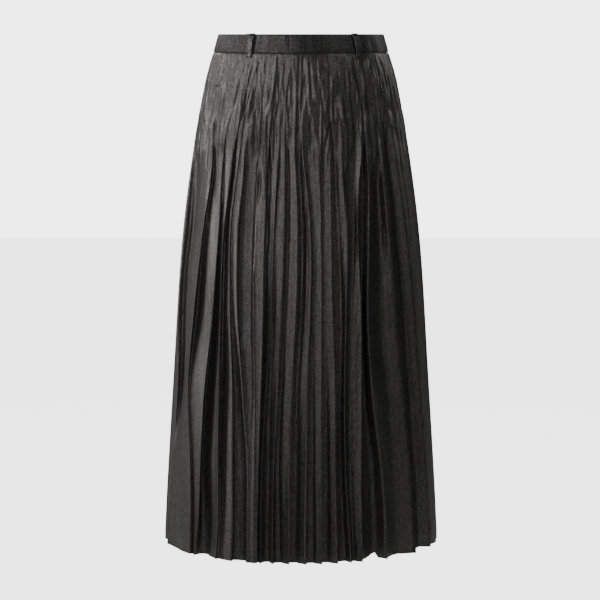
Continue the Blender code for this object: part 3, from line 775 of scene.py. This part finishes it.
def loop_line(rise=LOOP_RISE):
    """(out, drop) along the middle of a belt loop's cloth, from its hidden upper end to its hidden lower end."""
    near = SEAM_GAP + LOOP_THICK * 0.5
    far = near + LOOP_THICK
    bottom = BAND_HEIGHT + LOOP_TAIL
    return (
        (near, 0.0040),
        (near, 0.0005),
        (near + LOOP_THICK * 0.5, -rise + LOOP_THICK * 0.5),
        (far, 0.0008),
        (LOOP_BOW * 0.72 + far, 0.0065),
        (LOOP_BOW + far, BAND_HEIGHT * 0.52),
        (LOOP_BOW * 0.62 + far, BAND_HEIGHT - 0.0045),
        (far, bottom - 0.0052),
        (far, bottom - 0.0010),
        (near + LOOP_THICK * 0.5, bottom - LOOP_THICK * 0.4),
        (near, bottom - 0.0010),
        (near, bottom - 0.0050),
    )


def along_loop(line, at):
    """(out, drop) on a belt loop's line, at a place that counts the line's points."""
    return [curve_through(range(len(line)), column, at) for column in zip(*line)]


def loop_frame(degrees):
    """Outward and across directions of a belt loop."""
    angle = math.radians(degrees)
    middle = section_at(BAND_HEIGHT / 2)
    depth = depth_at(middle, angle)
    outward = Vector((math.sin(angle) / middle.half_width, -math.cos(angle) / depth, 0)).normalized()
    return outward, Vector((-outward.y, outward.x, 0))


def loop_point(degrees, drop, out):
    outward, _ = loop_frame(degrees)
    base = on_figure(degrees, max(drop, 0.0))
    base.z = TOP_Z - drop
    return base + outward * out


def make_loop(name, degrees, material):
    """A belt loop: a folded strip, its edges a little thicker than its middle, with its two ends turned under."""
    line = loop_line(LOOP_RISE if abs(degrees) < 90 else 0.5 * LOOP_THICK)
    outward, across = loop_frame(degrees)
    steps, columns = 66, 11
    rows, places, down = [], [], 0.0
    before = None
    for i in range(steps + 1):
        at = (len(line) - 1) * i / steps
        out, drop = along_loop(line, at)
        base = loop_point(degrees, drop, out)
        down += (base - before).length if before else 0.0
        before = base
        lean = 0.0004 * noise.noise(Vector((at * 0.6, degrees, 2.0)))
        row = []
        for j in range(columns):
            side = 2 * j / (columns - 1) - 1
            ridge = 0.00012 * math.exp(-(((abs(side) - 0.84) / 0.12) ** 2))
            ridge -= 0.00025 * max(0.0, abs(side) - 0.92) / 0.08
            facing = 1.0 if 3.0 < at < 8.5 else 0.3
            row.append(base + across * (side * LOOP_WIDTH / 2 + lean) + outward * ridge * facing)
        rows.append(row)
        places.append([(j * LOOP_WIDTH / columns + 0.3, down) for j in range(columns)])
    bm = bmesh.new()
    lay_grid(bm, rows, places)
    bmesh.ops.recalc_face_normals(bm, faces=bm.faces[:])
    piece = add_piece(name + "_cloth", bm, material, (name,), 50)
    thicken(piece, LOOP_THICK * 0.9, 0.0)


def add_stitch(bm, start, end, width, facets=6):
    """One stitch: a thread between two needle holes, thick in the middle and thin at its ends."""
    made = bmesh.ops.create_uvsphere(bm, u_segments=facets, v_segments=5, radius=0.5)
    along = end - start
    turn = along.to_track_quat("Z", "Y").to_matrix().to_4x4()
    size = Matrix.Diagonal((width, width, along.length * 1.06, 1.0))
    bmesh.ops.transform(bm, matrix=Matrix.Translation((start + end) / 2) @ turn @ size, verts=made["verts"])


def add_bar_tack(bm, centre, across, down, outward, width, height, threads):
    """A bar tack: threads laid side by side over two long ones."""
    for k in range(threads):
        at = centre + across * width * ((k + 0.5) / threads - 0.5)
        tilt = across * (width / threads * 0.35)
        add_stitch(bm, at - down * height / 2 - tilt, at + down * height / 2 + tilt, width / threads * 1.5, 5)
    for share in (-0.25, 0.25):
        at = centre + down * height * share - outward * 0.0002
        add_stitch(bm, at - across * width / 2, at + across * width / 2, 0.0005)


def make_loop_sewing(material):
    """Edge stitching of the belt loops and the bar tacks that hold them, at places along each loop's line."""
    bm = bmesh.new()
    line = loop_line()
    top, bottom, count = 3.4, 7.9, 15
    for degrees in LOOP_ANGLES.values():
        outward, across = loop_frame(degrees)

        def on_loop(at, lift):
            out, drop = along_loop(line, at)
            return loop_point(degrees, drop, out + lift)

        for side in (-1, 1):
            for k in range(count):
                a = top + (bottom - top) * (k + 0.12) / count
                b = top + (bottom - top) * (k + 0.88) / count
                shift = across * side * LOOP_WIDTH * 0.36
                add_stitch(bm, on_loop(a, 0.00058) + shift, on_loop(b, 0.00058) + shift, 0.00034)
        for at in (3.35, 7.6):
            centre = on_loop(at, 0.0007)
            down = (on_loop(at + 0.2, 0.0007) - on_loop(at - 0.2, 0.0007)).normalized()
            add_bar_tack(bm, centre, across, down, outward, LOOP_WIDTH * 0.86, 0.0013, 16)
    add_piece("belt_loop_stitching", bm, material)


def make_hip_tacks(panels, material):
    """The small bar tacks that hold the first pleat at either hip, sewn through the cloth where it lies."""
    bm = bmesh.new()
    for k, degrees, drop in HIP_TACKS:
        rows = [panels[k].cloth(drop + step) for step in (0.0, 0.004)]
        target = on_figure(degrees, drop)
        i = min(range(len(rows[0])), key=lambda j: (rows[0][j] - target).length)
        place = rows[0][i]
        down = (rows[1][i] - place).normalized()
        across = (rows[0][i + 2] - rows[0][i - 2]).normalized()
        outward = across.cross(down)
        if outward.xy.dot(place.xy) < 0:
            outward = -outward
        add_bar_tack(bm, place + 0.0007 * outward, across, down, outward, 0.0065, 0.0018, 13)
    add_piece("hip_tacks", bm, material)


# Zip


def zip_point(across, drop, inward):
    """A point of the zip, across metres from the centre back towards +X."""
    s = section_at(drop)
    return on_section(s, 180 - math.degrees(across / s.half_width), -(BAND_WALL + SEAM_GAP + inward))


def make_tape(tape_material, coil_material):
    """The zip's two tapes with their corded edges, and the closed coil between them."""
    bm = bmesh.new()
    levels = 60
    half = TAPE_WIDTH / 2
    for side in (-1, 1):
        ring = [
            (0.0006, 0.0001),
            (half * 0.5, 0.0),
            (half - 0.0012, 0.0),
            (half - 0.0003, -0.0001),
            (half, 0.00035),
            (half - 0.0003, 0.0008),
            (half - 0.0012, 0.0007),
            (half * 0.5, 0.0007),
            (0.0006, 0.0008),
            (0.0006, 0.0001),
        ]
        rows, places = [], []
        for k in range(levels + 1):
            drop = TAPE_TOP_DROP + (ZIP_END_DROP - TAPE_TOP_DROP) * k / levels
            rows.append([zip_point(side * x, drop, y) for x, y in ring])
            places.append([(x + 0.4, drop) for x, _ in ring])
        lay_grid(bm, rows, places)
    close_sheet(bm)
    add_piece("zip_tapes", bm, tape_material, ("zip_tape",), 50)
    bm = bmesh.new()
    count = int((ZIP_END_DROP - TAPE_TOP_DROP - 0.004) / TOOTH_PITCH)
    for k in range(count):
        drop = TAPE_TOP_DROP + 0.004 + TOOTH_PITCH * k
        side = 1 if k % 2 else -1
        start, end = zip_point(side * 0.0018, drop, 0.0013), zip_point(-side * 0.0012, drop, 0.0012)
        add_stitch(bm, start, end, 0.00105)
    add_piece("zip_coil", bm, coil_material)


def finish_zip_metal(material):
    """The slider and the pull keep their solids and get eased edges and their finish."""
    for name in ("zip_slider", "zip_pull"):
        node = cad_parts[name]
        weld = node.modifiers.new("weld", "WELD")
        weld.merge_threshold = 0.00001
        bevel = node.modifiers.new("eased_edges", "BEVEL")
        bevel.width = 0.00018
        bevel.segments = 2
        bevel.limit_method = "ANGLE"
        bevel.angle_limit = math.radians(40)
        for held in node.material_slots:
            held.material = material


# Materials


def linear(code):
    """An sRGB hex colour as the linear colour that a shader takes."""
    parts = [int(code[i : i + 2], 16) / 255 for i in (0, 2, 4)]
    return [p / 12.92 if p <= 0.04045 else ((p + 0.055) / 1.055) ** 2.4 for p in parts] + [1.0]


def set_inputs(tree, node, values):
    """Set a node's inputs to plain values, or link them from other nodes' outputs."""
    for key, value in values.items():
        if isinstance(value, bpy.types.NodeSocket):
            tree.links.new(value, node.inputs[key])
        else:
            node.inputs[key].default_value = value


def add_node(tree, kind, values=None, **settings):
    made = tree.nodes.new(kind)
    for key, value in settings.items():
        setattr(made, key, value)
    set_inputs(tree, made, values or {})
    return made


def blend(tree, factor, low, high):
    """A mix of two colours, each a hex code or another node's output."""
    low, high = (linear(colour) if isinstance(colour, str) else colour for colour in (low, high))
    values = {"Factor": factor, "A": low, "B": high}
    return add_node(tree, "ShaderNodeMix", values, data_type="RGBA").outputs["Result"]


def cloud(tree, place, scale, detail, roughness=0.5):
    values = {"Vector": place, "Scale": scale, "Detail": detail, "Roughness": roughness}
    return add_node(tree, "ShaderNodeTexNoise", values).outputs["Fac"]


def ranged(tree, value, given, wanted=(0.0, 1.0)):
    """A value moved from one range to another, and kept inside it."""
    values = dict(zip(("Value", "From Min", "From Max", "To Min", "To Max"), (value, *given, *wanted)))
    return add_node(tree, "ShaderNodeMapRange", values).outputs["Result"]


def bumped(tree, height, strength, distance, under=None):
    """The normal of a surface that a texture raises, over the normal of a coarser bump if one is given."""
    values = {"Height": height, "Strength": strength, "Distance": distance}
    if under is not None:
        values["Normal"] = under
    return add_node(tree, "ShaderNodeBump", values).outputs["Normal"]


def object_place(tree):
    return add_node(tree, "ShaderNodeTexCoord").outputs["Object"]


def cloth_place(tree):
    return add_node(tree, "ShaderNodeUVMap", uv_map="cloth").outputs["UV"]


def new_material(name):
    """An empty node material with its Principled shader."""
    made = bpy.data.materials.new(name)
    made.use_nodes = True
    return made, made.node_tree, made.node_tree.nodes["Principled BSDF"]


def lame_cloth(name, crinkle, smooth, rough, anisotropy, codes):
    """Lame: black polyester woven with a thin film yarn. The yarn lies across, so the cloth glitters in short
    grains, and heat-set pleating leaves fine upright crinkles. smooth and rough are the roughness of the smoothest
    and the roughest grain, and codes the colours of the polyester and of the film."""
    made, tree, shader = new_material(name)
    place = cloth_place(tree)

    def stretched(across, down):
        scale = (1 / across, 1 / down, 1.0)
        return add_node(tree, "ShaderNodeMapping", {"Vector": place, "Scale": scale}).outputs["Vector"]

    # Real film yarn shows in grains of about 0.5 mm. They are drawn 1.2 mm long so that they show in the picture.
    cells = add_node(tree, "ShaderNodeTexVoronoi", {"Vector": stretched(0.0012, 0.0009), "Scale": 1.0})
    chance = add_node(tree, "ShaderNodeSeparateColor", {"Color": cells.outputs["Color"]}).outputs["Red"]
    # Yarns differ a little down the cloth, which draws faint upright lines about 2 mm apart.
    yarns = cloud(tree, stretched(0.0021, 0.060), 1.0, 2.0, 0.7)
    mixed = add_node(tree, "ShaderNodeMath", {0: yarns, 1: 1.1, 2: chance}, operation="MULTIPLY_ADD")
    grain = ranged(tree, mixed.outputs["Value"], (0.55, 1.55))
    # Tint drifts over a hand's width between warm and cool grey, as the film yarn turns in the light.
    film = blend(tree, cloud(tree, stretched(0.016, 0.11), 1.0, 1.0), codes[1], codes[2])
    colour = blend(tree, grain, codes[0], film)
    gloss = ranged(tree, chance, (0.0, 1.0), (rough, smooth))
    # Crinkles of the pleating are 2 to 4 mm apart and a few centimetres long.
    crinkled = bumped(tree, cloud(tree, stretched(0.0040, 0.090), 1.0, 3.0, 0.6), 1.0, crinkle)
    grained = bumped(tree, cells.outputs["Distance"], 0.5, -0.0002, crinkled)
    yarn_way = add_node(tree, "ShaderNodeTangent", direction_type="UV_MAP", uv_map="cloth")
    values = {
        "Base Color": colour,
        "Metallic": 0.8,
        "Roughness": gloss,
        "Anisotropic": anisotropy,
        "Anisotropic Rotation": 0.25,
        "Tangent": yarn_way.outputs["Tangent"],
        "Normal": grained,
        "Sheen Weight": 0.05,
        "Sheen Roughness": 0.4,
    }
    set_inputs(tree, shader, values)
    return made


def sewing_thread():
    """Black spun polyester sewing thread: matt, with a fine twist."""
    made, tree, shader = new_material("black_polyester_thread")
    wave = {"Vector": object_place(tree), "Scale": 900.0, "Distortion": 1.5}
    twist = add_node(tree, "ShaderNodeTexWave", wave).outputs["Fac"]
    colour = blend(tree, twist, "0d0d0e", "242326")
    bump = bumped(tree, twist, 0.4, 0.0001)
    set_inputs(tree, shader, {"Base Color": colour, "Roughness": 0.7, "Normal": bump})
    return made


def woven_tape():
    """Zip tape: black polyester in a close twill, matt, with 0.6 mm ribs at 45 degrees."""
    made, tree, shader = new_material("black_woven_tape")
    turned = add_node(tree, "ShaderNodeMapping", {"Vector": cloth_place(tree), "Rotation": (0.0, 0.0, 0.78)})
    wave = {"Vector": turned.outputs["Vector"], "Scale": 520.0, "Distortion": 0.4}
    ribs = add_node(tree, "ShaderNodeTexWave", wave).outputs["Fac"]
    colour = blend(tree, ribs, "101011", "2b2b2d")
    bump = bumped(tree, ribs, 0.5, 0.0002)
    set_inputs(tree, shader, {"Base Color": colour, "Roughness": 0.82, "Normal": bump})
    return made


def nylon_coil():
    """Black nylon monofilament, formed by heat: smooth, with a soft plastic gloss and slightly uneven colour."""
    made, tree, shader = new_material("black_nylon_monofilament")
    colour = blend(tree, cloud(tree, object_place(tree), 700.0, 2.0), "141415", "29292b")
    set_inputs(tree, shader, {"Base Color": colour, "Roughness": 0.38, "IOR": 1.53})
    return made


def lacquered_zinc():
    """Die-cast zinc under black lacquer: glossy, with slight orange peel and grey where handling has worn it."""
    made, tree, shader = new_material("black_lacquered_zinc")
    place = object_place(tree)
    peel = cloud(tree, place, 1400.0, 2.0)
    worn = cloud(tree, place, 260.0, 3.0)
    colour = blend(tree, ranged(tree, worn, (0.58, 0.78)), "1c1c1e", "5d5c5a")
    rough = ranged(tree, worn, (0.3, 0.7), (0.24, 0.42))
    bump = bumped(tree, peel, 0.15, 0.0001)
    set_inputs(tree, shader, {"Base Color": colour, "Metallic": 0.85, "Roughness": rough, "Normal": bump})
    return made


def matt_floor():
    """Matt painted floor: pale, with a very slight roll of tone, and as bright to the camera as its surround."""
    made, tree, shader = new_material("pale_matt_floor")
    colour = blend(tree, cloud(tree, object_place(tree), 0.8, 1.0), "f4f4f4", "fafafa")
    ray = add_node(tree, "ShaderNodeLightPath").outputs["Is Camera Ray"]
    glow = ranged(tree, ray, (0.0, 1.0), (0.0, FLOOR_GLOW))
    values = {"Base Color": colour, "Roughness": 0.9, "Emission Color": linear("ffffff"), "Emission Strength": glow}
    set_inputs(tree, shader, values)
    return made


# Floor, light and camera


def make_floor():
    bm = bmesh.new()
    bmesh.ops.create_grid(bm, x_segments=2, y_segments=2, size=9.0)
    bmesh.ops.translate(bm, verts=bm.verts[:], vec=(0, 0, FLOOR_Z))
    new_object("floor", new_mesh("floor", bm, matt_floor()))


def make_world():
    """A pale surround: bright where the camera sees it, dimmer as a light."""
    world = bpy.data.worlds.new("pale_surround")
    bpy.context.scene.world = world
    world.use_nodes = True
    tree = world.node_tree
    ray = add_node(tree, "ShaderNodeLightPath").outputs["Is Camera Ray"]
    strength = ranged(tree, ray, (0.0, 1.0), (WORLD_LIT, WORLD_SEEN))
    set_inputs(tree, tree.nodes["Background"], {"Color": linear("ffffff"), "Strength": strength})


def make_lights():
    for spec in LIGHTS:
        lamp = bpy.data.lights.new(spec.name, "AREA")
        lamp.shape = "DISK"
        lamp.size = spec.size
        lamp.energy = spec.power
        lamp.spread = math.radians(spec.spread)
        holder = new_object(spec.name, lamp)
        bearing = math.radians(spec.bearing)
        place = Vector((math.sin(bearing), -math.cos(bearing), 0)) * spec.distance
        place.z = spec.height
        holder.location = place
        aim = Vector((0, 0, spec.aim)) - place
        holder.rotation_euler = aim.to_track_quat("-Z", "Y").to_euler()


def make_camera():
    lens = bpy.data.cameras.new("camera")
    lens.lens = CAMERA_LENS
    lens.sensor_width = 36.0
    lens.clip_end = 60.0
    camera = new_object("camera", lens)
    camera.location = CAMERA_PLACE
    camera.rotation_euler = (math.radians(90 - CAMERA_DIP), 0, 0)
    bpy.context.scene.camera = camera


skirt_cloth = lame_cloth("black_lame_cloth_pleated", 0.0008, 0.36, 0.46, 0.75, ("666563", "a8a6a2", "a6a3a6"))
band_cloth = lame_cloth("black_lame_cloth_pressed", 0.0006, 0.46, 0.56, 0.4, ("494847", "8f8d8a", "8d8a8d"))
# The belt loops' copy of the lamé is the waistband's cloth with lighter colours: painted light that offsets the
# shade their bow casts on them.
loop_cloth_painted_lighter = lame_cloth("black_lame_cloth_strip_painted_lighter", 0.0002, 0.42, 0.52, 0.3, ("5a5958", "afada9", "adaaad"))
thread = sewing_thread()

make_bands(band_cloth)
panels = make_panels(skirt_cloth)
for loop_name, loop_degrees in LOOP_ANGLES.items():
    make_loop(loop_name, loop_degrees, loop_cloth_painted_lighter)
make_loop_sewing(thread)
make_hip_tacks(panels, thread)
make_tape(woven_tape(), nylon_coil())
finish_zip_metal(lacquered_zinc())
make_floor()
make_world()
make_lights()
make_camera()
